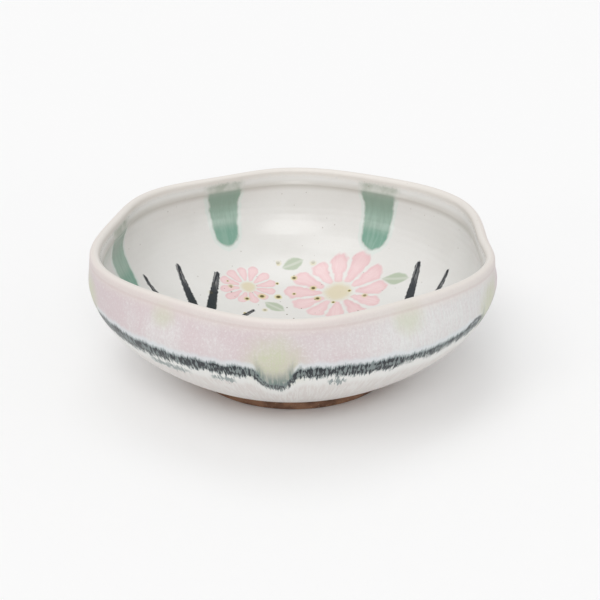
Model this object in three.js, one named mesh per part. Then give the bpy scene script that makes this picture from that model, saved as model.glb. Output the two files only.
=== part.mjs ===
// A hand-thrown stoneware serving bowl. While the clay was soft its rim was pressed in at six
// places, which leaves six shallow lobes that die away into a round shoulder. A foot ring is
// luted on underneath. Two coats of glaze cover the clay: a white one poured inside, and a
// blushed one outside that stops just short of the foot.
// Millimetres, +Z up. The origin is on the table, under the middle of the bowl's outline, and
// azimuths are in degrees from +X towards +Y.
import * as THREE from "three";

// Rim
const RIM_HEIGHT = 63.2;
const LIP_THICKNESS = 4.6;
const LIP_LEAN = 0.4; // how far the lip's outer edge stands in from the shoulder
const CREASE_DEPTH = 8; // from the top of the lip down to the crease that rings the inside
const CREASE_SWELL = 1.4; // how far the crease stands in from the lip's inner edge

// Wall, outside
const SHOULDER_RADIUS = 90; // the widest place
const SHOULDER_DEPTH = 15.5; // below the rim
const SHOULDER_PULL = 18.5; // how far below the shoulder the wall begins to stand upright
const BELLY_RUN = 12; // how far the wall runs out from the glaze line before it lifts
const BELLY_LIFT = 5.2;

// Wall and floor, inside
const HOLLOW_SWELL = 0.4; // how far the wall opens out again below the crease
const HOLLOW_LIFT = 12.7; // height above the floor where the wall stands upright
const FLOOR_INSET = 28; // from the shoulder in to where the floor begins to turn up
const FLOOR_THICKNESS = 6.5;

// Foot ring
const FOOT_RADIUS = 45; // on the table
const FOOT_HEIGHT = 4.5;
const FOOT_WIDTH = 6.5;
const FOOT_FLARE = 1; // how much further each side reaches where the ring is luted on
const FOOT_EDGE = 1.2; // rounding of the lower edges

// Glaze
const GLAZE_THICKNESS = 0.8;
const GLAZE_SEAT = 0.3; // clearance from the glaze to the clay, and from one glaze to the other
const BARE_CLAY = 1.5; // width of clay left bare between the foot ring and the outer glaze
const GLAZE_LINE_LIFT = 0.5; // height of the glaze line above the seat of the foot ring

// Lobes: where the rim is pressed in, how deep the pinch is, how far the crest of the lobe after
// it stays in from the round, and at what share of the way to the next pinch that crest lies
const PINCHES = [
  { azimuth: 0, depth: 4.6, crest: -0.8, share: 0.5 },
  { azimuth: 63, depth: 3.0, crest: 0.6, share: 0.5 },
  { azimuth: 117, depth: 5.4, crest: 1.4, share: 0.5 },
  { azimuth: 167, depth: 5.2, crest: -0.2, share: 0.5 },
  { azimuth: 235, depth: 4.6, crest: 0, share: 0.5 },
  { azimuth: 302, depth: 5.2, crest: -0.3, share: 0.64 },
];
const LOBE_DEPTH = 19.5; // how far below the rim the lobes die away

// Facets
const SEGMENTS = 72;
const BELLY_STEPS = 8;
const NECK_STEPS = 3;
const LIP_STEPS = 2;
const BEVEL_STEPS = 2;
const HOLLOW_STEPS = 12;
const HOLLOW_EASE = 1.5; // crowds the facets towards the crease, where the lobes are
const EDGE_STEPS = 2;

const lipRadius = LIP_THICKNESS / 2;
const lipCentre = new THREE.Vector2(SHOULDER_RADIUS - LIP_LEAN - lipRadius, RIM_HEIGHT - lipRadius);
const crease = new THREE.Vector2(lipCentre.x - lipRadius - CREASE_SWELL, RIM_HEIGHT - CREASE_DEPTH);
const shoulder = new THREE.Vector2(SHOULDER_RADIUS, RIM_HEIGHT - SHOULDER_DEPTH);
const floorHeight = FOOT_HEIGHT + FLOOR_THICKNESS;
const seatRadius = FOOT_RADIUS + FOOT_FLARE;
const glazeLine = new THREE.Vector2(seatRadius + BARE_CLAY, FOOT_HEIGHT + GLAZE_LINE_LIFT);
const seamAngle = GLAZE_SEAT / 2 / (lipRadius - GLAZE_THICKNESS); // half of the seam on the lip

// How far the rim is pressed in at an azimuth: most at a pinch, least at the crest between two
function pressAt(azimuth) {
  const first = PINCHES[0].azimuth;
  const turn = first + THREE.MathUtils.euclideanModulo(azimuth - first, 360);
  const index = PINCHES.findLastIndex((pinch) => pinch.azimuth <= turn);
  const from = PINCHES[index];
  const to = PINCHES[(index + 1) % PINCHES.length];
  const span = THREE.MathUtils.euclideanModulo(to.azimuth - from.azimuth, 360);
  const along = (turn - from.azimuth) / span;
  const before = along < from.share;
  const depth = before ? from.depth : to.depth;
  const climb = before ? along / from.share : (1 - along) / (1 - from.share);
  const swell = 0.5 - 0.5 * Math.cos(Math.PI * climb);
  return THREE.MathUtils.lerp(depth, from.crest, swell);
}

// Points along a curve, each with the direction square to the curve on its left. An ease over
// 1 crowds them towards the start.
function stations(curve, steps, ease = 1) {
  return Array.from({ length: steps + 1 }, (_, i) => {
    const t = (i / steps) ** ease;
    const along = curve.getTangent(t);
    return { point: curve.getPoint(t), side: new THREE.Vector2(-along.y, along.x) };
  });
}

// Joins runs of stations that meet end to end. Where two runs meet at an angle, the side is
// halfway between theirs.
function join(...runs) {
  const joined = [...runs[0]];
  for (const run of runs.slice(1)) {
    const last = joined.at(-1);
    last.side.add(run[0].side).normalize();
    joined.push(...run.slice(1));
  }
  return joined;
}

// The outline that lies under a face at a distance, with an end on the axis kept there
function under(face, distance) {
  return face.map(({ point, side }) => {
    const x = Math.max(point.x + side.x * distance, 0);
    return new THREE.Vector2(x, point.y + side.y * distance);
  });
}

function lipArc(from, to) {
  const arc = new THREE.EllipseCurve(lipCentre.x, lipCentre.y, lipRadius, lipRadius, from, to);
  return stations(arc, LIP_STEPS);
}

// The finished outside, from the glaze line up over the shoulder to the seam on the lip
function outsideFace() {
  const belly = new THREE.CubicBezierCurve(
    glazeLine,
    new THREE.Vector2(glazeLine.x + BELLY_RUN, glazeLine.y + BELLY_LIFT),
    new THREE.Vector2(shoulder.x, shoulder.y - SHOULDER_PULL),
    shoulder,
  );
  const neck = new THREE.QuadraticBezierCurve(
    shoulder,
    new THREE.Vector2(shoulder.x, (shoulder.y + lipCentre.y) / 2),
    new THREE.Vector2(lipCentre.x + lipRadius, lipCentre.y),
  );
  const lip = lipArc(0, Math.PI / 2 - seamAngle);
  return join(stations(belly, BELLY_STEPS), stations(neck, NECK_STEPS), lip);
}

// The finished inside, from the seam on the lip down past the crease to the middle of the floor
function insideFace() {
  const lip = lipArc(Math.PI / 2 + seamAngle, Math.PI);
  const bevel = new THREE.QuadraticBezierCurve(
    new THREE.Vector2(lipCentre.x - lipRadius, lipCentre.y),
    new THREE.Vector2(lipCentre.x - lipRadius, (lipCentre.y + crease.y) / 2),
    crease,
  );
  const hollow = new THREE.CubicBezierCurve(
    crease,
    new THREE.Vector2(crease.x + HOLLOW_SWELL, floorHeight + HOLLOW_LIFT),
    new THREE.Vector2(SHOULDER_RADIUS - FLOOR_INSET, floorHeight),
    new THREE.Vector2(0, floorHeight),
  );
  return join(lip, stations(bevel, BEVEL_STEPS), stations(hollow, HOLLOW_STEPS, HOLLOW_EASE));
}

// Turns an outline about the bowl's axis, then presses in what lies near the rim.
function turned(outline) {
  const geometry = new THREE.LatheGeometry(outline, SEGMENTS);
  geometry.rotateX(Math.PI / 2);
  const position = geometry.attributes.position;
  for (let i = 0; i < position.count; i++) {
    const x = position.getX(i);
    const y = position.getY(i);
    const radius = Math.hypot(x, y);
    if (radius === 0) continue;
    const azimuth = THREE.MathUtils.radToDeg(Math.atan2(y, x));
    const share = THREE.MathUtils.smoothstep(position.getZ(i), RIM_HEIGHT - LOBE_DEPTH, RIM_HEIGHT);
    const scale = 1 - (pressAt(azimuth) * share) / radius;
    position.setXY(i, x * scale, y * scale);
  }
  geometry.computeVertexNormals();
  return geometry;
}

// The clay lies under both glazes, with a step at the glaze line where the outer one ends.
function bodyOutline() {
  const outside = outsideFace();
  const clay = under([...outside, ...insideFace()], GLAZE_THICKNESS + GLAZE_SEAT);
  const edge = outside[0];
  const back = new THREE.Vector2(-edge.side.y, edge.side.x).setLength(GLAZE_SEAT);
  return [
    new THREE.Vector2(0, FOOT_HEIGHT),
    new THREE.Vector2(seatRadius, FOOT_HEIGHT),
    edge.point.clone().add(back),
    clay[0].clone().add(back),
    ...clay.slice(1),
  ];
}

function outerGlazeOutline() {
  const face = outsideFace();
  const front = under(face, 0);
  return [...front, ...under(face, GLAZE_THICKNESS).reverse(), front[0]];
}

function innerGlazeOutline() {
  const face = insideFace();
  return [...under(face, GLAZE_THICKNESS).reverse(), ...under(face, 0)];
}

function footOutline() {
  const inner = FOOT_RADIUS - FOOT_WIDTH;
  const rounded = (x, from) =>
    new THREE.EllipseCurve(x, FOOT_EDGE, FOOT_EDGE, FOOT_EDGE, from, from + Math.PI / 2);
  return [
    new THREE.Vector2(inner - FOOT_FLARE, FOOT_HEIGHT),
    ...rounded(inner + FOOT_EDGE, Math.PI).getPoints(EDGE_STEPS),
    ...rounded(FOOT_RADIUS - FOOT_EDGE, 1.5 * Math.PI).getPoints(EDGE_STEPS),
    new THREE.Vector2(seatRadius, FOOT_HEIGHT),
    new THREE.Vector2(inner - FOOT_FLARE, FOOT_HEIGHT),
  ];
}

const bareClay = new THREE.MeshStandardMaterial({ color: 0x6b4c3c, roughness: 0.9, metalness: 0 });
const whiteGlaze = new THREE.MeshStandardMaterial({ color: 0xe4e2db, roughness: 0.3, metalness: 0 });
const blushGlaze = new THREE.MeshStandardMaterial({ color: 0xd9cdcb, roughness: 0.45, metalness: 0 });

function piece(name, outline, material) {
  const mesh = new THREE.Mesh(turned(outline), material);
  mesh.name = name;
  return mesh;
}

const bowl = new THREE.Group();
bowl.add(piece("bowl_body", bodyOutline(), bareClay));
bowl.add(piece("foot_ring", footOutline(), bareClay));
bowl.add(piece("inner_glaze", innerGlazeOutline(), whiteGlaze));
bowl.add(piece("outer_glaze", outerGlazeOutline(), blushGlaze));

// The lobes aren't evenly spaced, so the bowl is set with its outline centred on the origin.
const middle = new THREE.Box3().setFromObject(bowl).getCenter(new THREE.Vector3());
bowl.position.set(-middle.x, -middle.y, 0);

export default bowl;
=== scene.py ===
"""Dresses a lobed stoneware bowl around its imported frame: its glazes, its bare clay and foot ring,
and the table, lamps and camera. Sizes of meshes are in metres, places in materials are in
millimetres, and azimuths are in degrees from +X towards +Y."""

import math

import bpy
import numpy as np
from bpy.props import FloatProperty, FloatVectorProperty, IntProperty, PointerProperty
from bpy.types import Operator, Panel, PropertyGroup
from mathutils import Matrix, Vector


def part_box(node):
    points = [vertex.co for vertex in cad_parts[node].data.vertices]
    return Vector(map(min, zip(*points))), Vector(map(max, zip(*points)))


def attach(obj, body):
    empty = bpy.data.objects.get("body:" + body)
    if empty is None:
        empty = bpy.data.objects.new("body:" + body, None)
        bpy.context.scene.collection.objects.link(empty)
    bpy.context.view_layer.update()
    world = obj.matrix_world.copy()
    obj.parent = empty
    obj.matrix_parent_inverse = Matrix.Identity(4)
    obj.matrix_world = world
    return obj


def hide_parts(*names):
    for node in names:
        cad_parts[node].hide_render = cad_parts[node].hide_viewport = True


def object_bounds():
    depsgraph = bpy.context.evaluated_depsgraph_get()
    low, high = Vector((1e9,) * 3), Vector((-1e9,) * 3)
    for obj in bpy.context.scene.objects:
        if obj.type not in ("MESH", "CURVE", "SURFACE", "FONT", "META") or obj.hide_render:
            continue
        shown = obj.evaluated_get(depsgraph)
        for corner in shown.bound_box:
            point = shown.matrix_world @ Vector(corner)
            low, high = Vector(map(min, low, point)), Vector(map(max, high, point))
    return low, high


bl_info = {
    "name": "Lobed bowl",
    "version": (1, 0, 0),
    "blender": (4, 5, 0),
    "location": "View3D > Sidebar > Lobed bowl",
    "description": "Glazes, clay and foot ring of a lobed stoneware bowl, with its table and lamps",
    "category": "Object",
}

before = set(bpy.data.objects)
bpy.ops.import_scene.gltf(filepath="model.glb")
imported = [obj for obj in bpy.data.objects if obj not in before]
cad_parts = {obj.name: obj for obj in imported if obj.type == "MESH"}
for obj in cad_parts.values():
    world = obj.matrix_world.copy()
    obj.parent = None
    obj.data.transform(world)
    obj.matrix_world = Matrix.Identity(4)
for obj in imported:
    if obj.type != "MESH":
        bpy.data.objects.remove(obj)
CAD_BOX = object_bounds()
GLAZE_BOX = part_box("outer_glaze")
FOOT_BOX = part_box("foot_ring")
AXIS = (FOOT_BOX[0] + FOOT_BOX[1]) / 2

MM = 0.001
HAIR = 0.15 * MM  # how far the fine surface stays inside the frame's facets

# Radii at which the outside and the inside of the wall are unrolled, and the millimetres that one
# degree then covers
WALL_RADIUS = 88
INSIDE_RADIUS = 84
WALL_PER_DEGREE = math.radians(WALL_RADIUS)
INSIDE_PER_DEGREE = math.radians(INSIDE_RADIUS)

# What the hand leaves on the surface, in millimetres
THROWING_LINE = 0.022  # height of the throwing lines
THROWING_PITCH = 3.4
GROOVE_DEPTH = 3.8  # of the groove outside, below the rim
GROOVE_CUT = 0.14
GROOVE_WIDTH = 0.45
RUN_RAISE = 0.28  # how far a copper run stands out
SETBACK = 0.25  # how far the whole surface stays back, so that the wobble keeps inside the frame

# Steps along the shortest stretch of a profile: on the faces that show, and on those beneath
FINE = 10
COARSE = 4
FOOT_STEPS = 8

# Where the rim is pressed in: azimuth, depth, how far the crest of the lobe after it stays in from
# the round, and at what share of the way to the next pinch that crest lies
PINCHES = [
    (0, 4.6 * MM, -0.8 * MM, 0.5),
    (63, 3.0 * MM, 0.6 * MM, 0.5),
    (117, 5.4 * MM, 1.4 * MM, 0.5),
    (167, 5.2 * MM, -0.2 * MM, 0.5),
    (235, 4.6 * MM, 0.0, 0.5),
    (302, 5.2 * MM, -0.3 * MM, 0.64),
]

# Copper glaze run down inside from the rim: azimuth, width and lowest height
RUNS = [(60, 15.5, 28.2), (114.5, 15.5, 28.7), (166, 15, 26.7), (236, 14.5, 29.7), (303, 15, 27.7)]

# Soft ash spots outside, one on each lobe: azimuth, width and middle height
LOBE_SPOTS = [
    (31.5, 18, 45),
    (90, 18, 45),
    (142, 18, 45),
    (197, 18, 46),
    (265.5, 19, 44.5),
    (337.5, 18, 46),
]

# Fainter ash spots just below the lip, one over each pinch
PINCH_SPOTS = [(0, 9, 57), (63, 9, 57), (117, 9, 57), (167, 9, 57), (233.5, 10, 57), (302.5, 13, 57.5)]

# The brushed line outside: its height, where it rises towards its end, where it is drawn thin, and
# where it is left open between its end and its start
LINE_HEIGHT = 39.7
LINE_RISE = 1.2
LINE_RISE_AT = 334
LINE_THIN_AT = 322
LINE_OPEN_AT = 337
LINE_CURL_AT = 328

# Dry traces of the brush under the line: azimuth and half of their width in degrees
DRY_TRACES = [(234, 8), (251, 4), (282, 3), (16, 7), (76, 9), (126, 5), (178, 7)]


def srgb(red, green, blue):
    """A colour given as it shows on a screen, from 0 to 255, in Blender's linear values."""
    shares = [value / 255 for value in (red, green, blue)]
    return [s / 12.92 if s <= 0.04045 else ((s + 0.055) / 1.055) ** 2.4 for s in shares]


def length(name, description, default):
    return FloatProperty(name=name, description=description, default=default, unit="LENGTH", min=0)


def angle(name, description, degrees):
    return FloatProperty(
        name=name, description=description, default=math.radians(degrees), subtype="ANGLE"
    )


def strength(name, description, default):
    return FloatProperty(name=name, description=description, default=default, min=0)


def colour(name, description, default):
    return FloatVectorProperty(
        name=name, description=description, default=default, subtype="COLOR", min=0, max=1
    )


class BowlForm(PropertyGroup):
    """Sizes of the thrown bowl."""

    rim_height: length("Rim height", "Top of the lip above the table", CAD_BOX[1].z)
    shoulder_radius: length(
        "Shoulder radius", "Widest place", (GLAZE_BOX[1].y - GLAZE_BOX[0].y) / 2 - HAIR
    )
    shoulder_depth: length("Shoulder depth", "Widest place below the rim", 15.5 * MM)
    shoulder_pull: length("Shoulder pull", "Upright stretch under the shoulder", 18.5 * MM)
    belly_run: length("Belly run", "How far the wall runs out before it lifts", 12 * MM)
    belly_lift: length("Belly lift", "Lift of the wall over its run", 5.2 * MM)
    lip_thickness: length("Lip thickness", "Thickness of the rounded lip", 4.6 * MM)
    lip_lean: length("Lip lean", "How far the lip leans in from the shoulder", 0.4 * MM)
    crease_depth: length("Crease depth", "Crease inside, below the rim", 8 * MM)
    crease_swell: length("Crease swell", "How far the crease stands in from the lip", 1.4 * MM)
    hollow_swell: length("Hollow swell", "How far the wall opens below the crease", 0.4 * MM)
    hollow_lift: length("Hollow lift", "Height above the floor where the wall stands", 12.7 * MM)
    floor_inset: length("Floor inset", "From the shoulder in to the turn of the floor", 28 * MM)
    floor_thickness: length("Floor thickness", "Floor over the seat of the foot", 6.5 * MM)
    lobe_depth: length("Lobe depth", "How far below the rim the lobes die away", 19.5 * MM)
    glaze_thickness: length("Glaze thickness", "Thickness of each glaze coat", 0.8 * MM)
    around: IntProperty(name="Around", description="Faces around the bowl", default=360, min=24)


class FootForm(PropertyGroup):
    """Sizes of the foot ring and of the bare clay beside it."""

    radius: length("Seat radius", "Ring's radius where it is luted on", FOOT_BOX[1].x - AXIS.x)
    height: length("Height", "Height of the ring", FOOT_BOX[1].z)
    width: length("Width", "Width of the ring on the table", 6.5 * MM)
    flare: length("Flare", "How much further each side reaches at the seat", 1 * MM)
    edge: length("Edge", "Rounding of the lower edges", 1.2 * MM)
    bare_clay: length("Bare clay", "Clay left bare between ring and glaze", 1.5 * MM)
    glaze_line_lift: length("Glaze line lift", "Glaze line above the seat", 0.5 * MM)


class BowlColours(PropertyGroup):
    """Colours of the glazes, the painting and the clay, and of the painted shade."""

    white: colour("White", "White glaze inside", srgb(229, 228, 225))
    white_thin: colour("Thin white", "White glaze where it lies thin", srgb(222, 220, 216))
    lip: colour("Lip", "Thin glaze over the outside of the lip", srgb(218, 209, 203))
    cream: colour("Cream", "Glaze over the crest and inside of the lip", srgb(226, 220, 213))
    # Painted shade: this colour is laid in a soft band across the crease inside
    crease: colour("Crease", "Shade of the crease inside", srgb(198, 194, 187))
    # Painted shade: this colour darkens the groove under the lip outside
    groove: colour("Groove", "Shade in the groove under the lip", srgb(196, 178, 174))
    speck: colour("Speck", "Fine specks in the white glaze", srgb(150, 140, 128))
    blush: colour("Blush", "Pink blush on the outside", srgb(205, 190, 192))
    frost: colour("Frost", "Frosty crystals in the outside glaze", srgb(225, 224, 223))
    veil: colour("Veil", "Whitish glaze that veils the blush", srgb(213, 214, 212))
    lower: colour("Lower wall", "Outside glaze below the brushed line", srgb(214, 208, 204))
    fringe: colour("Fringe", "White glaze just below the brushed line", srgb(228, 228, 225))
    warm: colour("Warm edge", "Glaze thinned at its lower edge", srgb(196, 176, 160))
    halo: colour("Halo", "Bluish glaze just above the brushed line", srgb(212, 219, 223))
    ash: colour("Ash", "Yellow-green ash spots", srgb(194, 198, 168))
    ash_pool: colour("Pooled ash", "Ash where it meets the line", srgb(112, 130, 122))
    copper: colour("Copper", "Green glaze runs", srgb(154, 182, 167))
    # Partly painted shade: this darker green streaks the runs, and under the crease it stands in for
    # shade
    copper_deep: colour("Deep copper", "Green glaze where it pools", srgb(107, 157, 138))
    copper_dark: colour("Dark copper", "Green glaze under the crease", srgb(130, 154, 138))
    copper_matt: colour("Matt copper", "Green glaze dry on the lip", srgb(162, 170, 156))
    copper_edge: colour("Copper edge", "Pale rim that bleeds from the runs", srgb(214, 226, 220))
    ink: colour("Ink", "Blue-black line and strokes", srgb(24, 31, 38))
    ink_wash: colour("Ink wash", "Grey-green body of the line", srgb(104, 121, 121))
    petal: colour("Petal", "Pink of the painted crests", srgb(238, 209, 210))
    petal_deep: colour("Deep petal", "Pink where the paint gathers", srgb(228, 188, 191))
    heart: colour("Heart", "Pale yellow heart of the crests", srgb(218, 206, 172))
    leaf: colour("Leaf", "Green leaf dabs", srgb(172, 186, 160))
    iron: colour("Iron", "Spatter of olive brown", srgb(92, 82, 34))
    iron_halo: colour("Iron halo", "Yellow that bleeds from the spatter", srgb(216, 205, 146))
    clay: colour("Clay", "Bare fired clay", srgb(140, 104, 80))
    clay_dark: colour("Dark clay", "Darker grains of the clay", srgb(92, 64, 48))
    clay_grit: colour("Grit", "Pale grit in the clay", srgb(172, 142, 116))


class StageLooks(PropertyGroup):
    """Table, lamps and camera."""

    table: colour("Table", "Pale table", srgb(250, 250, 250))
    backdrop: colour("Backdrop", "What the camera sees beyond the table", srgb(249, 249, 250))
    ambient: strength("Ambient", "Light from all round", 0.6)
    front: strength("Front lamp", "Strength of the soft lamp over the camera", 0.82)
    side: strength("Side lamp", "Strength of the soft lamp at the left", 0.48)
    top: strength("Top lamp", "Strength of the soft lamp above and behind", 0.35)
    window: strength("Windows", "Strength of the two low lights that shine on the glaze", 0.1)
    softness: angle("Softness", "How wide each lamp looks from the bowl", 35)
    window_width: angle("Window width", "How wide each low light looks from the bowl", 13)
    camera_distance: length("Camera distance", "From the middle of the view", 0.65)
    camera_elevation: angle("Camera elevation", "Angle of the camera above the table", 24.65)
    camera_lens: strength("Lens", "Focal length in millimetres", 87.7)


# Profiles: arrays of (radius, height), walked up the outside, over the lip and down the inside


def bezier(points, steps, ease=1.0):
    """Points along a Bezier curve of any degree, crowded towards its start by an ease over 1."""
    share = (np.linspace(0, 1, steps + 1) ** ease)[:, None]
    degree = len(points) - 1
    weights = [
        math.comb(degree, i) * (1 - share) ** (degree - i) * share**i for i in range(degree + 1)
    ]
    return sum(weight * np.array(point) for weight, point in zip(weights, points))


def arc(centre, radius, start, end, steps):
    angles = np.radians(np.linspace(start, end, steps + 1))
    return np.array(centre) + radius * np.column_stack((np.cos(angles), np.sin(angles)))


def join(*runs):
    return np.vstack([runs[0]] + [run[1:] for run in runs[1:]])


def under(profile, distance):
    """The profile moved to the left of its run, which is into the clay."""
    along = np.gradient(profile, axis=0)
    along /= np.linalg.norm(along, axis=1)[:, None]
    moved = profile + distance * np.column_stack((-along[:, 1], along[:, 0]))
    moved[:, 0] = np.maximum(moved[:, 0], 0)
    return moved


def glaze_line(foot):
    return (foot.radius + foot.bare_clay, foot.height + foot.glaze_line_lift)


def lip_centre(form):
    half = form.lip_thickness / 2
    return (form.shoulder_radius - form.lip_lean - half, form.rim_height - half)


def outside_profile(form, foot, fine):
    """From the glaze line up over the shoulder to the crest of the lip."""
    start = glaze_line(foot)
    shoulder = (form.shoulder_radius, form.rim_height - form.shoulder_depth)
    half = form.lip_thickness / 2
    centre = lip_centre(form)
    run_out = (start[0] + form.belly_run, start[1] + form.belly_lift)
    upright = (shoulder[0], shoulder[1] - form.shoulder_pull)
    belly = bezier([start, run_out, upright, shoulder], 6 * fine)
    halfway = (shoulder[0], (shoulder[1] + centre[1]) / 2)
    neck = bezier([shoulder, halfway, (centre[0] + half, centre[1])], 2 * fine)
    return join(belly, neck, arc(centre, half, 0, 90, fine))


def inside_profile(form, foot, fine):
    """From the crest of the lip down past the crease to the middle of the floor."""
    half = form.lip_thickness / 2
    centre = lip_centre(form)
    crease = (centre[0] - half - form.crease_swell, form.rim_height - form.crease_depth)
    floor = foot.height + form.floor_thickness
    halfway = (centre[0] - half, (centre[1] + crease[1]) / 2)
    bevel = bezier([(centre[0] - half, centre[1]), halfway, crease], fine)
    stand = (crease[0] + form.hollow_swell, floor + form.hollow_lift)
    turn = (form.shoulder_radius - form.floor_inset, floor)
    hollow = bezier([crease, stand, turn, (0, floor)], 8 * fine, ease=1.3)
    return join(arc(centre, half, 90, 180, fine), bevel, hollow)


def press_at(azimuths):
    """How far the rim is pressed in at each azimuth: most at a pinch, least at the crest after it."""
    places, depths = [], []
    for (start, depth, crest, share), (end, *_) in zip(PINCHES, PINCHES[1:] + PINCHES[:1]):
        places += [start, start + (end - start) % 360 * share]
        depths += [depth, crest]
    places = np.array(places + [places[0] + 360])
    depths = np.array(depths + [depths[0]])
    turn = (azimuths - places[0]) % 360 + places[0]
    index = np.searchsorted(places, turn, side="right") - 1
    along = (turn - places[index]) / (places[index + 1] - places[index])
    ease = 0.5 - 0.5 * np.cos(np.pi * along)
    return depths[index] + (depths[index + 1] - depths[index]) * ease


def smoothstep(low, high, values):
    share = np.clip((values - low) / (high - low), 0, 1)
    return share * share * (3 - 2 * share)


def turn_about(a, b):
    """The signed angle from b to a, from -180 to 180 degrees."""
    return (a - b + 180) % 360 - 180


def hand_relief(azimuths, profile, form):
    """What the hand leaves on the thrown and glazed surface, along its normal: a slow wobble,
    fine throwing lines, a groove under the lip outside, and the raised green runs inside."""
    azimuth = np.radians(azimuths)[:, None]
    height = profile[:, 1][None, :] / MM
    rim = form.rim_height / MM
    steps = np.linalg.norm(np.diff(profile, axis=0), axis=1)
    along = np.r_[0, np.cumsum(steps)][None, :] / MM
    inside = np.arange(len(profile))[None, :] > np.argmax(profile[:, 1])
    wobble = 0.12 * np.sin(2 * azimuth + 0.7) + 0.1 * np.sin(3 * azimuth + 2.1 + 0.06 * height)
    spiral = 2 * np.pi * along / THROWING_PITCH + azimuth
    lines = THROWING_LINE * np.sin(spiral) * (1 + 0.6 * np.sin(3 * azimuth + 0.4 * along))
    groove_height = rim - GROOVE_DEPTH + 0.25 * np.sin(2 * azimuth)
    groove = -GROOVE_CUT * np.exp(-(((height - groove_height) / GROOVE_WIDTH) ** 2))
    relief = wobble + lines + np.where(inside, 0, groove)
    for centre, width, lowest in RUNS:
        half = width / 2
        across = np.abs(turn_about(azimuths, centre))[:, None] * INSIDE_PER_DEGREE
        down = np.maximum(lowest + half - height, 0)
        distance = np.hypot(across, down) - half
        raised = smoothstep(0.9, -0.9, distance) * smoothstep(rim - 4, rim - 8, height)
        relief = relief + np.where(inside, RUN_RAISE * raised, 0)
    still = smoothstep(0, 6, profile[:, 0] / MM)[None, :]
    return (relief * still - SETBACK) * MM


def turned(name, profile, form, around, relief=None, ring=False):
    """A mesh turned from a profile about the bowl's axis and pressed in near the rim. The profile
    starts and ends on the axis, or closes on itself as a ring."""
    azimuths = np.arange(around) * 360 / around
    radius = np.repeat(profile[None, :, 0], around, axis=0)
    height = np.repeat(profile[None, :, 1], around, axis=0)
    if relief is not None:
        along = np.gradient(profile, axis=0)
        along /= np.linalg.norm(along, axis=1)[:, None]
        radius = radius + relief * along[None, :, 1]
        height = height - relief * along[None, :, 0]
    share = smoothstep(form.rim_height - form.lobe_depth, form.rim_height, height)
    radius = radius - press_at(azimuths)[:, None] * share * (profile[None, :, 0] > 0)
    angles = np.radians(azimuths)[:, None]
    across = AXIS.x + radius * np.cos(angles)
    points = np.stack((across, AXIS.y + radius * np.sin(angles), height), axis=2)
    stations = len(profile)
    if ring:
        vertices = points.reshape(-1, 3)
        index = np.arange(around * stations).reshape(around, stations)
        index = np.column_stack((index, index[:, 0]))
    else:
        middle = points[:, 1:-1].reshape(-1, 3)
        ends = points[0, [0, -1]]
        vertices = np.vstack((ends, middle))
        index = np.empty((around, stations), int)
        index[:, 0] = 0
        index[:, -1] = 1
        index[:, 1:-1] = 2 + np.arange(around * (stations - 2)).reshape(around, -1)
    return mesh_of_grid(name, vertices, index)


def mesh_of_grid(name, vertices, index):
    """A closed mesh from rings of vertex numbers. Where a ring shrinks to one point, its faces
    are triangles. Each face keeps its place along the profile in the attribute station."""
    after = np.roll(index, -1, axis=0)
    faces, stations = [], []
    for j in range(index.shape[1] - 1):
        corners = np.column_stack((index[:, j], after[:, j], after[:, j + 1], index[:, j + 1]))
        if index[0, j] == index[1, j]:
            corners = corners[:, [0, 2, 3]]
        elif index[0, j + 1] == index[1, j + 1]:
            corners = corners[:, :3]
        faces += corners.tolist()
        stations += [j] * len(corners)
    mesh = bpy.data.meshes.new(name)
    mesh.from_pydata(vertices.tolist(), [], faces)
    mesh.attributes.new("station", "INT", "FACE").data.foreach_set("value", stations)
    mesh.shade_smooth()
    mesh.update()
    piece = bpy.data.objects.new(name, mesh)
    bpy.context.scene.collection.objects.link(piece)
    return piece


# Materials


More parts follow.
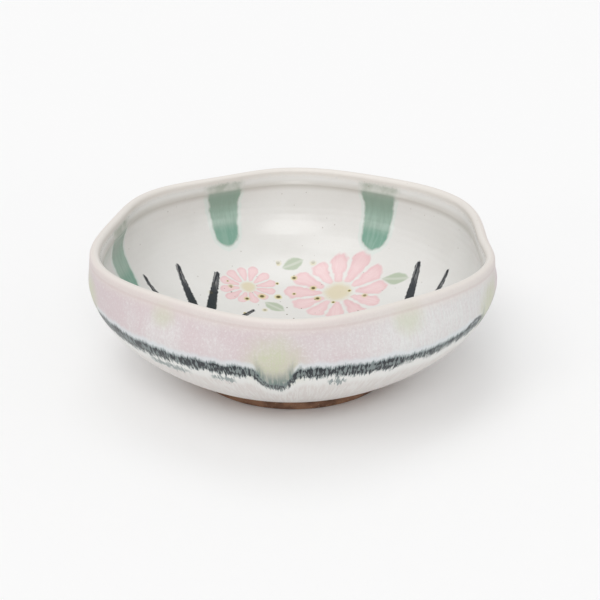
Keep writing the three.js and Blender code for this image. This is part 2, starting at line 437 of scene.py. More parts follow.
class Graph:
    """Adds nodes to one tree and links them, so that a formula reads as a line of Python."""

    def __init__(self, tree):
        self.tree = tree

    def add(self, kind, values=None, **settings):
        node = self.tree.nodes.new(kind)
        for name, value in settings.items():
            setattr(node, name, value)
        for key, value in (values or {}).items():
            self.feed(node.inputs[key], value)
        return node

    def feed(self, socket, value):
        if isinstance(value, bpy.types.NodeSocket):
            self.tree.links.new(value, socket)
        elif socket.type == "RGBA" and len(value) == 3:
            socket.default_value = (*value, 1)
        else:
            socket.default_value = value

    def math(self, operation, *values):
        return self.add("ShaderNodeMath", dict(enumerate(values)), operation=operation).outputs[0]

    def plus(self, first, *others):
        for other in others:
            first = self.math("ADD", first, other)
        return first

    def minus(self, first, second):
        return self.math("SUBTRACT", first, second)

    def times(self, first, *others):
        for other in others:
            first = self.math("MULTIPLY", first, other)
        return first

    def scaled(self, value, factor, offset):
        return self.math("MULTIPLY_ADD", value, factor, offset)

    def held(self, value, low=0, high=1):
        """The value, kept from low to high."""
        return self.math("MINIMUM", self.math("MAXIMUM", value, low), high)

    def off(self, value, centre=0):
        """How far a value lies from a centre, either way."""
        return self.math("ABSOLUTE", self.minus(value, centre))

    def most(self, values):
        """The largest of several values."""
        result = values[0]
        for value in values[1:]:
            result = self.math("MAXIMUM", result, value)
        return result

    def vector(self, operation, *values, scale=None):
        inputs = dict(enumerate(values))
        if scale is not None:
            inputs["Scale"] = scale
        node = self.add("ShaderNodeVectorMath", inputs, operation=operation)
        return node.outputs["Value" if operation in ("LENGTH", "DISTANCE", "DOT_PRODUCT") else 0]

    def parts(self, vector):
        return self.add("ShaderNodeSeparateXYZ", {0: vector}).outputs

    def combine(self, x, y, z=0):
        return self.add("ShaderNodeCombineXYZ", {0: x, 1: y, 2: z}).outputs[0]

    def reach(self, x, y):
        return self.vector("LENGTH", self.combine(x, y))

    def turn(self, azimuth, centre):
        """The signed angle from a centre, from -180 to 180 degrees."""
        return self.math("WRAP", self.minus(azimuth, centre), 180, -180)

    def near(self, azimuth, centre, full, none):
        """1 within the angle full of a centre, and 0 beyond the angle none."""
        return self.step(self.off(self.turn(azimuth, centre)), none, full)

    def noise(self, vector, scale, detail=2.0, roughness=0.5):
        """Noise from 0 to 1, centred on a half."""
        values = {"Vector": vector, "Scale": scale, "Detail": detail, "Roughness": roughness}
        return self.add("ShaderNodeTexNoise", values).outputs["Fac"]

    def step(self, value, low, high):
        """A smooth step from 0 at low to 1 at high, which may lie below low."""
        values = {"Value": value, "From Min": low, "From Max": high}
        node = self.add("ShaderNodeMapRange", values, interpolation_type="SMOOTHSTEP")
        return node.outputs["Result"]

    def blend(self, factor, first, second):
        """The first colour where the factor is 0, the second where it is 1."""
        values = {0: factor, 6: first, 7: second}
        return self.add("ShaderNodeMix", values, data_type="RGBA").outputs[2]

    def use(self, tree, **values):
        """Places a node group and returns its outputs. Input names are given in lower case with
        underscores."""
        node = self.add("ShaderNodeGroup", node_tree=tree)
        for name, value in values.items():
            self.feed(node.inputs[name.replace("_", " ").capitalize()], value)
        return node.outputs


def new_group(name, inputs, outputs):
    """A shader node group with float or vector sockets, told by their defaults."""
    tree = bpy.data.node_groups.new(name, "ShaderNodeTree")
    for in_out, sockets in (("INPUT", inputs), ("OUTPUT", outputs)):
        for label, default in sockets.items():
            single = isinstance(default, (int, float))
            kind = "NodeSocketFloat" if single else "NodeSocketVector"
            socket = tree.interface.new_socket(label, in_out=in_out, socket_type=kind)
            socket.default_value = default
    graph = Graph(tree)
    return graph, graph.add("NodeGroupInput").outputs, graph.add("NodeGroupOutput").inputs


def places_group():
    """Where a point lies on the bowl: its azimuth, radius and height, its place in space, its
    place on the wall for textures that run round it, and its place in plan."""
    origin = (0, 0, 0)
    outputs = {"Azimuth": 0, "Radius": 0, "Height": 0, "Place": origin, "Wall": origin, "Plan": origin}
    g, _, out = new_group("bowl_places", {}, outputs)
    position = g.add("ShaderNodeTexCoord").outputs["Object"]
    place = g.vector("SCALE", g.vector("SUBTRACT", position, (AXIS.x, AXIS.y, 0)), scale=1 / MM)
    x, y, z = g.parts(place)
    radius = g.reach(x, y)
    unroll = g.math("DIVIDE", WALL_RADIUS, radius)
    g.feed(out["Azimuth"], g.math("WRAP", g.math("DEGREES", g.math("ARCTAN2", y, x)), 360, 0))
    g.feed(out["Radius"], radius)
    g.feed(out["Height"], z)
    g.feed(out["Place"], place)
    g.feed(out["Wall"], g.combine(g.times(x, unroll), g.times(y, unroll), z))
    g.feed(out["Plan"], g.combine(x, y))
    return g.tree


def spot_group():
    """A soft round spot on the wall, with an edge that wanders."""
    inputs = {"Azimuth": 0, "Height": 0, "Wall": (0, 0, 0), "Centre": 0, "Level": 45, "Width": 18}
    inputs["Soft"] = 0.5
    g, given, out = new_group("soft_spot", inputs, {"Mask": 0})
    across = g.times(g.turn(given["Azimuth"], given["Centre"]), WALL_PER_DEGREE)
    up = g.minus(given["Height"], given["Level"])
    share = g.math("DIVIDE", g.reach(across, up), g.times(given["Width"], 0.5))
    edge = g.plus(share, g.scaled(g.noise(given["Wall"], 0.16, 3), 0.7, -0.35))
    soft = given["Soft"]
    g.feed(out["Mask"], g.step(edge, g.plus(1, soft), g.minus(1, soft)))
    return g.tree


def run_group():
    """A run of glaze down the inside from the rim, with a rounded lower end. Mask is where it
    lies, Pool its thick lower end, and Edge the pale rim beside it."""
    inputs = {"Azimuth": 0, "Height": 0, "Wall": (0, 0, 0), "Centre": 0, "Width": 15, "Lowest": 28}
    g, given, out = new_group("glaze_run", inputs, {"Mask": 0, "Pool": 0, "Edge": 0})
    height, wall, lowest = given["Height"], given["Wall"], given["Lowest"]
    across = g.times(g.turn(given["Azimuth"], given["Centre"]), INSIDE_PER_DEGREE)
    across = g.plus(across, g.scaled(g.noise(wall, 0.07, 1), 3, -1.5))
    flare = g.times(g.step(height, 48, 58), 2.2)
    waist = g.times(g.math("SINE", g.times(height, 0.13)), 0.5)
    half = g.plus(g.times(given["Width"], 0.5), flare, waist)
    down = g.math("MAXIMUM", g.minus(g.plus(lowest, half), height), 0)
    ragged = g.scaled(g.noise(wall, 0.3, 2), 1.8, -0.9)
    distance = g.plus(g.minus(g.reach(across, down), half), ragged)
    soft = g.scaled(g.step(height, 52, 57), 1.6, 0.7)
    g.feed(out["Mask"], g.step(distance, soft, g.times(soft, -1.4)))
    g.feed(out["Pool"], g.step(height, g.plus(lowest, 11), g.plus(lowest, 6)))
    g.feed(out["Edge"], g.step(g.off(distance, 0.9), 1.5, 0.2))
    return g.tree


def line_group():
    """The brushed line round the outside, which bled in the kiln. Ink is its dark strands, Wash
    its grey-green body, Halo the bluish band over it, Fringe the white one under it, and Above
    the height over its middle."""
    inputs = {"Azimuth": 0, "Height": 0, "Wall": (0, 0, 0), "Dip": 0}
    outputs = {"Ink": 0, "Wash": 0, "Halo": 0, "Fringe": 0, "Above": 0}
    g, given, out = new_group("brushed_line", inputs, outputs)
    azimuth, height, dip = given["Azimuth"], given["Height"], given["Dip"]
    x, y, z = g.parts(given["Wall"])
    hair_place = g.combine(x, y, g.times(z, 0.2))
    round_place = g.combine(x, y)
    hair = g.minus(g.noise(hair_place, 1.45, 2, 0.7), 0.5)
    strand = g.noise(g.vector("ADD", hair_place, (37, 11, 5)), 1.2, 2, 0.65)
    slow = g.minus(g.noise(round_place, 0.05, 2), 0.5)
    patch = g.minus(g.noise(round_place, 0.16, 2), 0.5)

    rise = g.times(g.near(azimuth, LINE_RISE_AT, 4, 26), LINE_RISE)
    level = g.plus(LINE_HEIGHT, rise, g.times(dip, -1), g.times(slow, 2.2))
    above = g.minus(height, level)
    thin = g.scaled(g.near(azimuth, LINE_THIN_AT, 18, 28), -0.35, 1)
    tip = g.step(dip, 3, 8)
    half = g.times(g.math("MAXIMUM", g.scaled(patch, 4, 2.5), 1.3), thin, g.scaled(tip, -0.3, 1))
    top = g.minus(g.plus(half, g.times(hair, 4)), above)
    bottom = g.plus(above, half, g.times(hair, 9))
    body = g.math("MINIMUM", top, bottom)
    drawn = g.minus(1, g.near(azimuth, LINE_OPEN_AT, 4.5, 6.5))

    middle = g.times(g.step(g.off(above), 1.3, 0.3), g.step(patch, -0.1, 0.12))
    opened = g.plus(strand, g.times(middle, 0.1), g.times(tip, 0.05))
    gaps = g.times(g.step(opened, 0.5, 0.6), g.step(g.minus(above, hair), -2.6, -0.6), 0.85)
    dark = g.times(g.step(body, 0, 0.6), g.minus(1, gaps))
    across = g.times(g.turn(azimuth, LINE_CURL_AT), WALL_PER_DEGREE, 0.45)
    curl_height = LINE_HEIGHT + LINE_RISE + 0.8
    from_curl = g.reach(across, g.minus(height, curl_height))
    bow = g.step(g.minus(g.off(from_curl, 2.3), g.times(hair, 3)), 1.2, 0.4)
    curl = g.times(bow, g.step(height, curl_height - 1.2, curl_height))
    g.feed(out["Ink"], g.most([g.times(dark, drawn), g.times(curl, 0.85)]))

    dry = g.minus(g.scaled(hair, 11, 1.9), g.off(above, -6.2))
    traces = g.most([g.near(azimuth, at, half * 0.6, half) for at, half in DRY_TRACES])
    dashes = g.times(g.step(dry, 0.1, 0.9), traces, 0.9)
    inner = g.times(g.step(from_curl, 2.6, 1.6), 0.45)
    wash = g.times(g.step(body, -1.5, 0.3), drawn)
    g.feed(out["Wash"], g.most([wash, dashes, inner]))
    flat = g.minus(1, g.step(dip, 1, 4))
    halo = g.step(g.off(g.minus(above, half), 1.2), 2.6, 0.4)
    g.feed(out["Halo"], g.times(halo, drawn, flat))
    g.feed(out["Fringe"], g.times(g.step(g.off(g.plus(above, half), -2.2), 5, 0.8), drawn))
    g.feed(out["Above"], above)
    return g.tree


def specks_group(name="specks", dimensions="3D"):
    """Small scattered specks: 1 inside a speck and 0 between them."""
    inputs = {"Vector": (0, 0, 0), "Scale": 1, "Share": 0.2, "Size": 0.3}
    g, given, out = new_group(name, inputs, {"Mask": 0})
    values = {"Vector": given["Vector"], "Scale": given["Scale"]}
    cells = g.add("ShaderNodeTexVoronoi", values, voronoi_dimensions=dimensions)
    pick, spread, _ = g.parts(cells.outputs["Color"])
    chosen = g.step(pick, given["Share"], g.times(given["Share"], 0.9))
    size = g.times(given["Size"], g.scaled(spread, 0.8, 0.4))
    dot = g.step(cells.outputs["Distance"], size, g.times(size, 0.5))
    g.feed(out["Mask"], g.times(chosen, dot))
    return g.tree


CREST_PETALS = 12


def crest_group():
    """A chrysanthemum crest in plan: round-ended petals about a soft heart, each one press of a
    loaded brush. Petals and Heart are masks, Pool is where the colour gathers, and Brush is its
    streaky thickness."""
    inputs = {"Plan": (0, 0, 0), "X": 0, "Y": 0, "Size": 40, "Turn": 0}
    outputs = {"Petals": 0, "Heart": 0, "Pool": 0, "Brush": 0}
    g, given, out = new_group("chrysanthemum_crest", inputs, outputs)
    centred = g.vector("SUBTRACT", given["Plan"], g.combine(given["X"], given["Y"]))
    x, y, _ = g.parts(centred)
    reach = g.math("DIVIDE", g.reach(x, y), g.times(given["Size"], 0.5))
    bearing = g.plus(g.math("ARCTAN2", y, x), g.math("RADIANS", given["Turn"]))
    sector = 2 * math.pi / CREST_PETALS
    number = g.math("ROUND", g.math("DIVIDE", bearing, sector))
    fold = g.minus(bearing, g.times(number, sector))
    same = g.math("WRAP", number, CREST_PETALS - 0.5, -0.5)
    chance = g.add("ShaderNodeTexWhiteNoise", {"W": g.plus(same, given["Size"])}, noise_dimensions="1D")
    pick = chance.outputs["Value"]
    along = g.times(reach, g.math("COSINE", fold))
    beside = g.times(reach, g.math("SINE", fold))
    spine = g.held(along, 0.36, g.scaled(pick, 0.12, 0.7))
    wide = g.scaled(spine, 0.27, -0.028)
    wander = g.scaled(g.noise(given["Plan"], 0.22, 3), 0.14, -0.07)
    edge = g.plus(g.minus(g.reach(g.minus(along, spine), beside), wide), wander)
    hairs = g.noise(g.combine(g.times(along, 4), g.times(beside, 30), number), 1, 2)
    g.feed(out["Petals"], g.step(edge, 0.02, -0.03))
    g.feed(out["Heart"], g.step(g.plus(reach, wander), 0.34, 0.14))
    g.feed(out["Pool"], g.step(edge, -0.11, -0.01))
    g.feed(out["Brush"], g.held(g.plus(g.times(pick, 0.5), g.scaled(hairs, 2, -0.8))))
    return g.tree


def spine_of(g, given):
    """How far along a stroke from its start to its end a point lies, from 0 to 1, and the point
    of its straight spine beside it."""
    run = g.vector("SUBTRACT", given["End"], given["Start"])
    from_start = g.vector("SUBTRACT", given["Plan"], given["Start"])
    span = g.vector("DOT_PRODUCT", run, run)
    share = g.held(g.math("DIVIDE", g.vector("DOT_PRODUCT", from_start, run), span))
    return run, share, g.vector("ADD", given["Start"], g.vector("SCALE", run, scale=share))


def stroke_group():
    """A brush stroke in plan, from one point to another, bowed to one side and tapered. It wears
    dry towards its end, where the bristles leave gaps."""
    inputs = {"Plan": (0, 0, 0), "Start": (0, 0, 0), "End": (0, 0, 0), "Bow": 0, "Wide": 4, "Narrow": 1}
    g, given, out = new_group("brush_stroke", inputs, {"Mask": 0})
    run, share, spine = spine_of(g, given)
    rx, ry, _ = g.parts(run)
    side = g.vector("NORMALIZE", g.combine(g.times(ry, -1), rx))
    bow = g.times(given["Bow"], g.math("SINE", g.times(share, math.pi)))
    spine = g.vector("ADD", spine, g.vector("SCALE", side, scale=bow))
    far = g.vector("DISTANCE", given["Plan"], spine)
    taper = g.add("ShaderNodeMix", {0: share, 2: given["Wide"], 3: given["Narrow"]}).outputs[0]
    taper = g.times(taper, g.scaled(g.step(share, 0, 0.35), 0.75, 0.25))
    ragged = g.scaled(g.noise(given["Plan"], 0.7, 3, 0.7), 1.8, -0.9)
    body = g.minus(g.plus(g.times(taper, 0.5), ragged), far)
    offset = g.vector("SUBTRACT", given["Plan"], spine)
    bristle_place = g.combine(g.vector("DOT_PRODUCT", offset, side), g.times(share, 2.5))
    bristles = g.noise(bristle_place, 1.7, 2, 0.6)
    dry = g.times(g.step(share, 0.8, 1.05), g.step(bristles, 0.52, 0.62))
    g.feed(out["Mask"], g.times(g.step(body, -0.2, 0.3), g.minus(1, g.times(dry, 0.85))))
    return g.tree


def leaf_group():
    """A leaf dab in plan: a pointed oval pulled by one press of the brush. Mask is the leaf, and
    Vein a paler line along it."""
    inputs = {"Plan": (0, 0, 0), "Start": (0, 0, 0), "End": (0, 0, 0), "Width": 8}
    g, given, out = new_group("leaf_dab", inputs, {"Mask": 0, "Vein": 0})
    _, share, spine = spine_of(g, given)
    far = g.vector("DISTANCE", given["Plan"], spine)
    swell = g.times(g.math("SINE", g.times(share, math.pi)), given["Width"], 0.5)
    wander = g.scaled(g.noise(given["Plan"], 0.3, 2), 1.4, -0.7)
    g.feed(out["Mask"], g.step(g.minus(g.plus(swell, wander), far), -0.4, 0.9))
    g.feed(out["Vein"], g.step(far, 1.1, 0.2))
    return g.tree


GROUP_MAKERS = {
    "bowl_places": places_group,
    "soft_spot": spot_group,
    "glaze_run": run_group,
    "brushed_line": line_group,
    "specks": specks_group,
    "flat_specks": lambda: specks_group("flat_specks", "2D"),
    "chrysanthemum_crest": crest_group,
    "brush_stroke": stroke_group,
    "leaf_dab": leaf_group,
}


def shared(name):
    """A node group, made when it is first asked for."""
    return bpy.data.node_groups.get(name) or GROUP_MAKERS[name]()


def new_material(name):
    """An empty material with its Graph and its Principled shader."""
    material = bpy.data.materials.new(name)
    material.use_nodes = True
    return material, Graph(material.node_tree), material.node_tree.nodes["Principled BSDF"]


def add_bump(g, shader, height, strength, distance):
    values = {"Height": height, "Strength": strength, "Distance": distance}
    g.feed(shader.inputs["Normal"], g.add("ShaderNodeBump", values).outputs["Normal"])


def dip_of(g, azimuth):
    """How far the brushed line dips under each ash spot."""
    nearest = g.most([g.near(azimuth, centre, 1.6, 6.6) for centre, _, _ in LOBE_SPOTS])
    return g.times(nearest, 8.8)


def spots_of(g, where, spots, soft):
    masks = []
    for centre, width, level in spots:
        spot = g.use(shared("soft_spot"), centre=centre, width=width, level=level, soft=soft, **where)
        masks.append(spot["Mask"])
    return g.most(masks)


def outside_glaze(form, colours):
    """The blushed glaze: white under the brushed line, pink and frosty over it, with ash spots."""
    material, g, shader = new_material("blush_glaze_outside")
    azimuth, _, height, _, wall, _ = g.use(shared("bowl_places")).values()
    where = {"azimuth": azimuth, "height": height, "wall": wall}
    x, y, z = g.parts(wall)
    streaks = g.noise(g.combine(x, y, g.times(z, 0.15)), 1.1, 3, 0.65)
    drift = g.noise(wall, 0.035, 2)
    web = g.noise(wall, 0.9, 4, 0.7)
    dip = dip_of(g, azimuth)
    line = g.use(shared("brushed_line"), dip=dip, **where)
    over_line = g.step(line["Above"], -1, 1.5)
    rim = form.rim_height / MM

    thinned = g.step(height, 9, 5.2)
    below = g.blend(g.times(g.step(streaks, 0.42, 0.62), 0.6), colours.lower, colours.fringe)
    below = g.blend(g.times(line["Fringe"], 0.85), below, colours.fringe)
    below = g.blend(g.times(thinned, 0.8), below, colours.warm)

    whiter = g.near(azimuth, 314, 14, 34)
    by_pinch = g.times(g.near(azimuth, 234, 3, 9), g.step(height, 60, 52))
    low = g.step(line["Above"], 7, 1)
    patches = g.step(drift, 0.46, 0.66)
    cover = g.plus(whiter, g.times(by_pinch, 0.55), g.times(low, 0.35), g.times(patches, 0.35))
    cover = g.held(cover)
    veil = g.times(cover, g.scaled(g.step(streaks, 0.36, 0.64), 0.35, 0.6))
    frost = g.step(g.plus(web, g.times(cover, 0.1), g.times(streaks, 0.1)), 0.56, 0.74)
    upper = g.blend(veil, colours.blush, colours.veil)
    threads = g.step(g.noise(g.combine(x, y, g.times(z, 0.5)), 2, 2, 0.6), 0.46, 0.64)
    upper = g.blend(g.times(threads, 0.16), upper, colours.frost)
    upper = g.blend(g.times(frost, 0.42), upper, colours.frost)
    colour = g.blend(over_line, below, upper)

    faint = spots_of(g, where, PINCH_SPOTS, 0.6)
    colour = g.blend(g.times(faint, 0.5), colour, colours.ash)
    grain = g.scaled(g.step(g.plus(web, streaks), 0.85, 1.15), -0.3, 0.85)
    ash = g.times(spots_of(g, where, LOBE_SPOTS, 0.75), grain)
    colour = g.blend(ash, colour, colours.ash)
    pooled = g.times(g.step(dip, 0.8, 4), g.step(line["Above"], 12, 2.5), over_line)
    pooled = g.times(pooled, g.scaled(g.step(streaks, 0.38, 0.6), 0.45, 0.55))
    colour = g.blend(pooled, colour, colours.ash_pool)

    colour = g.blend(g.times(line["Halo"], 0.6), colour, colours.halo)
    colour = g.blend(g.times(line["Wash"], 0.85), colour, colours.ink_wash)
    colour = g.blend(line["Ink"], colour, colours.ink)

    # Painted shade laid in the groove under the lip, over the groove that the relief cuts
    groove = g.step(g.off(height, rim - GROOVE_DEPTH), 1, 0.1)
    lip = g.step(g.plus(height, g.scaled(web, 4, -2)), rim - 8, rim - 2)
    crest = g.step(height, rim - 1.6, rim - 0.2)
    colour = g.blend(g.times(lip, 0.7), colour, colours.lip)
    colour = g.blend(g.times(groove, 0.3), colour, colours.groove)
    colour = g.blend(g.times(crest, 0.8), colour, colours.cream)
    g.feed(shader.inputs["Base Color"], colour)

    rough = g.plus(0.42, g.times(frost, over_line, 0.12), g.times(line["Ink"], -0.1))
    g.feed(shader.inputs["Roughness"], rough)
    pits = g.noise(wall, 1.7, 3, 0.6)
    relief = g.plus(g.times(pits, 0.4), g.times(frost, over_line, 0.4), g.times(streaks, 0.3))
    add_bump(g, shader, relief, 0.25, 0.15 * MM)
    return material


def inside_glaze(form, colours):
    """The white glaze with its green runs and the painting on the floor."""
    material, g, shader = new_material("white_glaze_inside")
    azimuth, _, height, place, wall, plan = g.use(shared("bowl_places")).values()
    where = {"azimuth": azimuth, "height": height, "wall": wall}
    rim = form.rim_height / MM
    crease = rim - form.crease_depth / MM
    cloud = g.step(g.noise(place, 0.05, 3), 0.42, 0.66)
    mottle = g.noise(place, 0.9, 3, 0.6)
    colour = g.blend(g.times(cloud, 0.35), colours.white, colours.white_thin)
    colour = g.blend(g.times(g.step(mottle, 0.48, 0.7), 0.16), colour, colours.white_thin)
    satin = g.step(g.noise(place, 2.4, 2, 0.6), 0.45, 0.68)
    colour = g.blend(g.times(satin, 0.18), colour, colours.white_thin)
    colour = paint_floor(g, colours, plan, colour)

    x, y, z = g.parts(wall)
    streaks = g.step(g.noise(g.combine(x, y, g.times(z, 0.2)), 0.55, 3, 0.6), 0.36, 0.64)
    runs = [g.use(shared("glaze_run"), centre=c, width=w, lowest=v, **where) for c, w, v in RUNS]
    mask = g.most([run["Mask"] for run in runs])
    pool = g.most([g.times(run["Pool"], run["Mask"]) for run in runs])
    edge = g.most([run["Edge"] for run in runs])
    bevel = g.step(height, crease - 0.8, crease + 1.4)
    # Painted shade: the runs are darkened for some millimetres under the crease
    shade_under_crease = g.step(height, crease - 14, crease - 5)
    green = g.blend(g.times(streaks, 0.4), colours.copper, colours.copper_dark)
    green = g.blend(g.times(shade_under_crease, 0.75), green, colours.copper_dark)
    pool = g.times(pool, g.scaled(streaks, 0.3, 0.6))
    green = g.blend(pool, green, colours.copper_deep)
    green = g.blend(bevel, green, colours.copper_matt)
    ends = g.step(g.plus(height, g.scaled(mottle, 2, -1)), rim - 1.8, rim - 5)
    thin = g.step(g.noise(place, 0.22, 2), 0.35, 0.65)
    fade = g.minus(1, g.times(bevel, g.scaled(thin, 0.35, 0.1)))
    colour = g.blend(g.times(edge, g.minus(1, bevel), 0.6), colour, colours.copper_edge)
    colour = g.blend(g.times(mask, ends, fade, 0.95), colour, green)

    # Painted shade: a soft darker band across the crease, kept mostly off the green runs
    shade = g.times(g.step(height, crease - 3.5, crease), g.step(height, crease + 3.2, crease + 0.3))
    shade = g.times(shade, g.minus(1, g.times(mask, 0.8)))
    colour = g.blend(g.times(shade, 0.85), colour, colours.crease)
    crest = g.step(g.plus(height, g.scaled(mottle, 3, -1.5)), rim - 5, rim - 2)
    colour = g.blend(g.times(crest, 0.8), colour, colours.cream)
    speck = g.use(shared("specks"), vector=place, scale=0.5, share=0.07, size=0.22)["Mask"]
    colour = g.blend(g.times(speck, 0.4), colour, colours.speck)
    g.feed(shader.inputs["Base Color"], colour)

    dull = g.math("MAXIMUM", g.times(bevel, mask), crest)
    g.feed(shader.inputs["Roughness"], g.plus(0.19, g.times(dull, 0.2), g.times(mottle, 0.05)))
    peel = g.noise(place, 0.4, 3, 0.5)
    add_bump(g, shader, peel, 0.18, 0.15 * MM)
    return material


# The painted floor, in plan: crests as (x, y, size, turn), grass blades as (start, end, bow,
# width at the start and at the end), leaf dabs as (start, end, width)
CRESTS = [(21, 44, 52, 4), (-22, 48, 29, 12), (8, -28, 34, 7)]
BLADES = [
    ((-45, -12, 0), (-69, 30, 0), -6, 6.6, 2.2),
    ((-41, -14, 0), (-55, 48, 0), -4, 8.0, 2.6),
    ((-36, -15, 0), (-37, 53, 0), 2, 8.6, 2.8),
    ((-32, -12, 0), (-19, 29, 0), 5, 6.6, 2.0),
    ((46, -10, 0), (40, 14, 0), -3, 6.0, 2.0),
    ((50, -14, 0), (59, 46, 0), 3, 8.6, 2.8),
    ((55, -14, 0), (71, 30, 0), 5, 7.4, 2.4),
]
LEAVES = [((42, 48, 0), (55, 42, 0), 7), ((-6, 62, 0), (5, 67, 0), 7), ((-14, 37, 0), (-4, 29, 0), 7)]
SPATTER_AT = (0, 44, 0)
SPATTER_REACH = 46


def paint_floor(g, colours, plan, colour):
    """A plain traditional painting on the floor: chrysanthemum crests, grass blades, leaf dabs and
    a spatter of iron."""
    for start, end, width in LEAVES:
        leaf = g.use(shared("leaf_dab"), plan=plan, start=start, end=end, width=width)
        shade = g.times(leaf["Mask"], g.minus(0.85, g.times(leaf["Vein"], 0.3)))
        colour = g.blend(shade, colour, colours.leaf)
    for x, y, size, turn in CRESTS:
        crest = g.use(shared("chrysanthemum_crest"), plan=plan, x=x, y=y, size=size, turn=turn)
        thick = g.held(g.plus(g.times(crest["Pool"], 0.55), g.times(crest["Brush"], 0.6)))
        pink = g.blend(thick, colours.petal, colours.petal_deep)
        colour = g.blend(g.times(crest["Petals"], 0.92), colour, pink)
        colour = g.blend(g.times(crest["Heart"], 0.8), colour, colours.heart)
    x, y, _ = g.parts(g.vector("SUBTRACT", plan, SPATTER_AT))
    level = g.step(g.vector("LENGTH", plan), 68, 62)
    near = g.times(g.step(g.reach(x, y), SPATTER_REACH, SPATTER_REACH * 0.6), level)
    drops = {"vector": plan, "scale": 0.12, "share": 0.4}
    halo = g.use(shared("flat_specks"), size=0.26, **drops)["Mask"]
    drop = g.use(shared("flat_specks"), size=0.14, **drops)["Mask"]
    fine = g.use(shared("flat_specks"), vector=plan, scale=0.3, share=0.12, size=0.16)["Mask"]
    colour = g.blend(g.times(halo, near, 0.85), colour, colours.iron_halo)
    for start, end, bow, wide, narrow in BLADES:
        sizes = {"bow": bow, "wide": wide, "narrow": narrow}
        blade = g.use(shared("brush_stroke"), plan=plan, start=start, end=end, **sizes)
        colour = g.blend(blade["Mask"], colour, colours.ink)
    return g.blend(g.times(g.most([drop, g.times(fine, 0.7)]), near), colour, colours.iron)


def bare_clay(colours):
    """Fired clay left bare: brown, matt and gritty, with turning marks."""
    material, g, shader = new_material("bare_clay")
    _, radius, height, place, _, _ = g.use(shared("bowl_places")).values()
    tone = g.noise(place, 0.12, 3)
    colour = g.blend(g.step(tone, 0.35, 0.7), colours.clay, colours.clay_dark)
    grit = g.use(shared("specks"), vector=place, scale=1.2, share=0.4, size=0.5)["Mask"]
    colour = g.blend(g.times(grit, 0.5), colour, colours.clay_grit)
    g.feed(shader.inputs["Base Color"], colour)
    shader.inputs["Roughness"].default_value = 0.88
    marks = g.math("SINE", g.times(g.plus(radius, height), 5.2))
    grain = g.noise(place, 1.6, 4, 0.7)
    add_bump(g, shader, g.plus(g.times(marks, 0.18), grain), 0.6, 0.3 * MM)
    return material


# Operators


class BOWL_OT_glaze_skin(Operator):
    """Glaze the bowl inside and out"""

    bl_idname = "lobed_bowl.glaze_skin"
    bl_label = "Glaze skin"

    def execute(self, context):
        scene = context.scene
        form, foot = scene.bowl_form, scene.bowl_foot
        outside = outside_profile(form, foot, FINE)
        face = join(outside, inside_profile(form, foot, FINE))
        coarse = join(outside_profile(form, foot, COARSE), inside_profile(form, foot, COARSE))
        back = under(coarse, form.glaze_thickness)[::-1]
        azimuths = np.arange(form.around) * 360 / form.around
        relief = np.zeros((form.around, len(back) + len(face)))
        relief[:, len(back) :] = hand_relief(azimuths, face, form)
        skin = turned("glaze_skin", np.vstack((back, face)), form, form.around, relief)
        skin.data.materials.append(outside_glaze(form, scene.bowl_colours))
        skin.data.materials.append(inside_glaze(form, scene.bowl_colours))
        stations = np.empty(len(skin.data.polygons), int)
        skin.data.attributes["station"].data.foreach_get("value", stations)
        inner = (stations >= len(back) + len(outside) - 1).astype(int)
        skin.data.polygons.foreach_set("material_index", inner)
        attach(skin, "root")
        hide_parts("inner_glaze", "outer_glaze")
        return {"FINISHED"}


class BOWL_OT_clay_body(Operator):
    """Throw the clay body, bare between the foot ring and the glaze"""

    bl_idname = "lobed_bowl.clay_body"
    bl_label = "Clay body"

    def execute(self, context):
        scene = context.scene
        form, foot = scene.bowl_form, scene.bowl_foot
        face = join(outside_profile(form, foot, COARSE), inside_profile(form, foot, COARSE))
        seat = 0.1 * MM  # between the clay and the glaze
        clay = under(face, form.glaze_thickness + seat)
        line = glaze_line(foot)
        base = np.linspace((0, foot.height), (foot.radius, foot.height), 24)
        step = np.linspace((foot.radius, foot.height), (line[0] - seat, line[1]), 5)
        profile = np.vstack((join(base, step), clay))
        body = turned("clay_body", profile, form, form.around // 2)
        body.data.materials.append(bare_clay(scene.bowl_colours))
        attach(body, "root")
        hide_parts("bowl_body")
        return {"FINISHED"}


class BOWL_OT_foot_ring(Operator):
    """Turn the foot ring"""

    bl_idname = "lobed_bowl.foot_ring"
    bl_label = "Foot ring"

    def execute(self, context):
        scene = context.scene
        form, foot = scene.bowl_form, scene.bowl_foot
        outer = foot.radius - foot.flare
        inner = outer - foot.width
        edge = foot.edge
        low_in = arc((inner + edge, edge), edge, 180, 270, FOOT_STEPS)
        low_out = arc((outer - edge, edge), edge, 270, 360, FOOT_STEPS)
        side_in = np.linspace((inner - foot.flare, foot.height), low_in[0], FOOT_STEPS)
        side_out = np.linspace(low_out[-1], (foot.radius, foot.height), FOOT_STEPS)
        table = np.linspace(low_in[-1], low_out[0], FOOT_STEPS)
        profile = join(side_in, low_in, table, low_out, side_out)
        ring = turned("foot_ring_turned", profile, form, form.around // 2, ring=True)
        clay = bpy.data.materials.get("bare_clay") or bare_clay(scene.bowl_colours)
        ring.data.materials.append(clay)
        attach(ring, "root")
        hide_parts("foot_ring")
        return {"FINISHED"}


class BOWL_OT_stage(Operator):
    """Set out the table, the lamps and the camera"""

    bl_idname = "lobed_bowl.stage"
    bl_label = "Stage"

    def execute(self, context):
        looks = context.scene.bowl_stage
        build_table(looks)
        build_world(looks)
        place_lamp("front_lamp", 270, 35, looks.front, looks.softness)
        place_lamp("side_lamp", 225, 60, looks.side, looks.softness)
        place_lamp("top_lamp", 100, 75, looks.top, looks.softness)
        place_lamp("right_window", 316, 12, looks.window, looks.window_width)
        place_lamp("left_window", 213, 12, looks.window, looks.window_width)
        place_camera(looks)
        context.scene.view_settings.view_transform = "Standard"
        return {"FINISHED"}


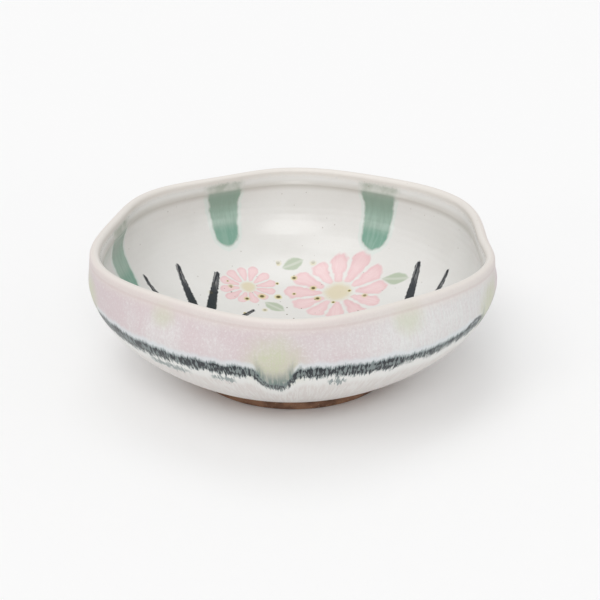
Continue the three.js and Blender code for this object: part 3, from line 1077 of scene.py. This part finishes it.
def build_table(looks):
    """A wide table, a hair under the foot. It can be looked through from below, and light from
    below passes it inside the foot, where nothing of it shows from above."""
    reach = 6.0
    top = -0.05 * MM
    corners = [(reach * x, reach * y, top) for x, y in ((-1, -1), (1, -1), (1, 1), (-1, 1))]
    mesh = bpy.data.meshes.new("table")
    mesh.from_pydata(corners, [], [(0, 1, 2, 3)])
    table = bpy.data.objects.new("table", mesh)
    bpy.context.scene.collection.objects.link(table)
    material, g, shader = new_material("pale_table")
    shader.inputs["Base Color"].default_value = (*looks.table, 1)
    shader.inputs["Roughness"].default_value = 0.9
    shader.inputs["Specular IOR Level"].default_value = 0.1
    geometry = g.add("ShaderNodeNewGeometry").outputs
    x, y, _ = g.parts(g.vector("SUBTRACT", geometry["Position"], AXIS))
    well_inside = FOOT_BOX[1].x - AXIS.x - 3 * MM
    inside_foot = g.math("LESS_THAN", g.reach(x, y), well_inside)
    g.feed(shader.inputs["Alpha"], g.minus(1, g.most([geometry["Backfacing"], inside_foot])))
    mesh.materials.append(material)


def build_world(looks):
    """Even light from all round, and a pale backdrop where the camera or a mirror looks."""
    world = bpy.data.worlds.new("studio")
    world.use_nodes = True
    bpy.context.scene.world = world
    g = Graph(world.node_tree)
    light = world.node_tree.nodes["Background"]
    light.inputs["Color"].default_value = (1, 1, 1, 1)
    light.inputs["Strength"].default_value = looks.ambient
    path = g.add("ShaderNodeLightPath").outputs
    seen = g.most([path["Is Camera Ray"], path["Is Glossy Ray"], path["Is Transmission Ray"]])
    backdrop = g.add("ShaderNodeBackground", {"Color": looks.backdrop, "Strength": 1})
    mix = g.add("ShaderNodeMixShader", {0: seen, 1: light.outputs[0], 2: backdrop.outputs[0]})
    g.feed(world.node_tree.nodes["World Output"].inputs["Surface"], mix.outputs[0])


def place_lamp(name, azimuth, elevation, power, softness):
    """A wide soft lamp that shines on the bowl from a direction given in degrees."""
    data = bpy.data.lights.new(name, "SUN")
    data.angle = softness
    data.energy = power
    turn, rise = math.radians(azimuth), math.radians(elevation)
    away = Vector((math.cos(rise) * math.cos(turn), math.cos(rise) * math.sin(turn), math.sin(rise)))
    lamp = bpy.data.objects.new(name, data)
    lamp.location = away
    lamp.rotation_mode = "QUATERNION"
    lamp.rotation_quaternion = away.to_track_quat("Z", "Y")
    bpy.context.scene.collection.objects.link(lamp)


def place_camera(looks):
    """The camera at the photograph's angle, aimed a little beside the bowl's middle."""
    data = bpy.data.cameras.new("photo_camera")
    data.sensor_width = 36
    data.lens = looks.camera_lens
    camera = bpy.data.objects.new("photo_camera", data)
    aim = Vector((AXIS.x + 2.96 * MM, AXIS.y - 1.25 * MM, 31.7 * MM))
    rise = looks.camera_elevation
    back = Vector((0, -math.cos(rise), math.sin(rise)))
    camera.location = aim + back * looks.camera_distance
    camera.rotation_mode = "QUATERNION"
    camera.rotation_quaternion = (-back).to_track_quat("-Z", "Y")
    bpy.context.scene.collection.objects.link(camera)
    bpy.context.scene.camera = camera


STEPS = (BOWL_OT_stage, BOWL_OT_clay_body, BOWL_OT_foot_ring, BOWL_OT_glaze_skin)


class BOWL_PT_sidebar(Panel):
    """Steps and sizes of the bowl"""

    bl_label = "Lobed bowl"
    bl_idname = "BOWL_PT_sidebar"
    bl_space_type = "VIEW_3D"
    bl_region_type = "UI"
    bl_category = "Lobed bowl"

    def draw(self, context):
        for step in STEPS:
            self.layout.operator(step.bl_idname)
        for group in SETTINGS:
            box = self.layout.box()
            settings = getattr(context.scene, group)
            for name in settings.bl_rna.properties.keys():
                if name not in ("rna_type", "name"):
                    box.prop(settings, name)


SETTINGS = {
    "bowl_form": BowlForm,
    "bowl_foot": FootForm,
    "bowl_colours": BowlColours,
    "bowl_stage": StageLooks,
}


def register():
    for kind in (*SETTINGS.values(), *STEPS, BOWL_PT_sidebar):
        bpy.utils.register_class(kind)
    for name, kind in SETTINGS.items():
        setattr(bpy.types.Scene, name, PointerProperty(type=kind))


def unregister():
    for name in SETTINGS:
        delattr(bpy.types.Scene, name)
    for kind in (BOWL_PT_sidebar, *reversed(STEPS), *SETTINGS.values()):
        bpy.utils.unregister_class(kind)


def main():
    register()
    bpy.ops.lobed_bowl.stage()
    bpy.ops.lobed_bowl.clay_body()
    bpy.ops.lobed_bowl.foot_ring()
    bpy.ops.lobed_bowl.glaze_skin()


if __name__ == "__main__":
    main()
